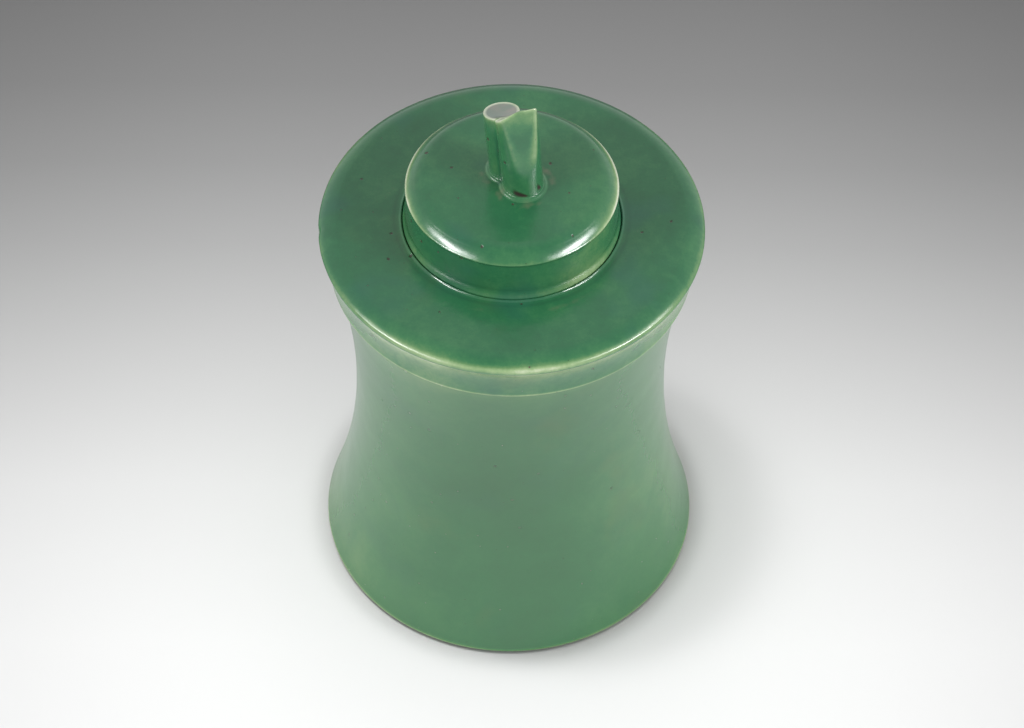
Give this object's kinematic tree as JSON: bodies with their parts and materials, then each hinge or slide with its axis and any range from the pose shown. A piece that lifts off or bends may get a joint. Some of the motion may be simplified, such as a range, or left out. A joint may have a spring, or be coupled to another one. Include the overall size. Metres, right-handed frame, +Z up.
{
  "type": "inkwell",
  "caption": "Waisted green-glazed ceramic inkwell with a flat overhanging top, a low round lid with a twin-stem knob, and a lift-out ink cup.",
  "frame": {"origin": "centre of the foot, on the plane of the table", "axes": "+Z up along the axis of the pot; -Y is the front, the side that the taller knob stem stands towards"},
  "size_m": [0.0736, 0.0736, 0.1172],
  "materials": {
    "green_glaze": "gloss",
    "pale_glaze": "gloss",
    "bare_clay": "matte"
  },
  "bodies": {
    "pot": {"body_wall": "green_glaze", "body_floor": "bare_clay", "shoulder_plate": "green_glaze", "mouth_collar": "bare_clay"},
    "cup": {"ink_cup": "pale_glaze"},
    "lid": {"lid_cap": "green_glaze", "lid_locating_ring": "bare_clay", "knob_main_stem": "green_glaze", "knob_side_stem": "green_glaze"}
  },
  "joints": [
    {"name": "cup_lift", "type": "slide", "parent": "pot", "child": "cup", "axis": [0, 0, 1], "range_m": [0, 0.05]},
    {"name": "lid_lift", "type": "slide", "parent": "cup", "child": "lid", "axis": [0, 0, 1], "range_m": [0, 0.04]}
  ]
}
